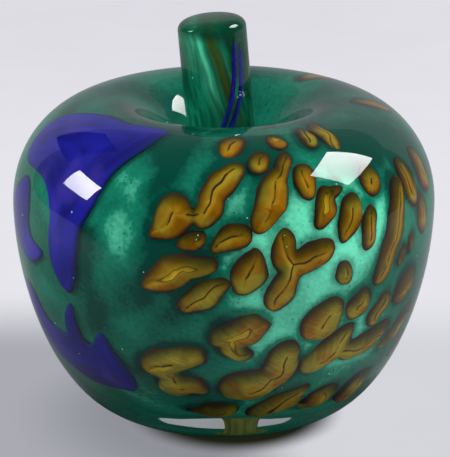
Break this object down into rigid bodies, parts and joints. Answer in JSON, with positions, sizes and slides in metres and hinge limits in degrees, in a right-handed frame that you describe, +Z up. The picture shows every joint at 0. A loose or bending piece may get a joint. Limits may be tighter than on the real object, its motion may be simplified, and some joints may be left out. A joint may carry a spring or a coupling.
{
  "type": "glass apple",
  "caption": "Solid art glass apple: amber chips and cobalt bands on a green overlay, cased in thick clear glass, with a leaning cased stem in the dimple and a ground flat foot.",
  "frame": {"origin": "centre of the ground flat foot", "axes": "+Z up along the apple's axis, -Y to the front seen in the picture, +X to the right of it"},
  "size_m": [0.112, 0.112, 0.1063],
  "materials": {
    "clear_glass": "fire-polished clear soda-lime glass",
    "green_glass": "translucent teal green overlay glass",
    "stem_glass": "dark green streaky glass",
    "cobalt_glass": "dense cobalt blue glass",
    "amber_glass": "streaky amber and olive glass chips"
  },
  "bodies": {
    "root": {"clear_casing": "clear_glass", "green_overlay": "green_glass", "clear_heart": "clear_glass", "stem_casing": "clear_glass", "stem_rod": "stem_glass", "stem_thread_1": "cobalt_glass", "stem_thread_2": "cobalt_glass", "cobalt_shoulder_band": "cobalt_glass", "cobalt_side_strip": "cobalt_glass", "cobalt_lower_band": "cobalt_glass", "amber_chip_01": "amber_glass", "amber_chip_02": "amber_glass", "amber_chip_03": "amber_glass", "amber_chip_04": "amber_glass", "amber_chip_05": "amber_glass", "amber_chip_06": "amber_glass", "amber_chip_07": "amber_glass", "amber_chip_08": "amber_glass", "amber_chip_09": "amber_glass", "amber_chip_10": "amber_glass", "amber_chip_11": "amber_glass", "amber_chip_12": "amber_glass", "amber_chip_13": "amber_glass", "amber_chip_14": "amber_glass", "amber_chip_15": "amber_glass", "amber_chip_16": "amber_glass", "amber_chip_17": "amber_glass", "amber_chip_18": "amber_glass", "amber_chip_19": "amber_glass", "amber_chip_20": "amber_glass", "amber_chip_21": "amber_glass", "amber_chip_22": "amber_glass", "amber_chip_23": "amber_glass", "amber_chip_24": "amber_glass", "amber_chip_25": "amber_glass", "amber_chip_26": "amber_glass", "amber_chip_27": "amber_glass", "amber_chip_28": "amber_glass", "amber_chip_29": "amber_glass", "amber_chip_30": "amber_glass", "amber_chip_31": "amber_glass", "amber_chip_32": "amber_glass", "amber_chip_33": "amber_glass", "amber_chip_34": "amber_glass", "amber_chip_35": "amber_glass", "amber_chip_36": "amber_glass", "amber_chip_37": "amber_glass", "amber_chip_38": "amber_glass", "amber_chip_39": "amber_glass", "amber_chip_40": "amber_glass", "amber_chip_41": "amber_glass", "amber_chip_42": "amber_glass", "amber_chip_43": "amber_glass", "amber_chip_44": "amber_glass", "amber_chip_45": "amber_glass", "amber_chip_46": "amber_glass", "amber_chip_47": "amber_glass", "amber_chip_48": "amber_glass", "amber_chip_49": "amber_glass", "amber_chip_50": "amber_glass"}
  },
  "joints": []
}
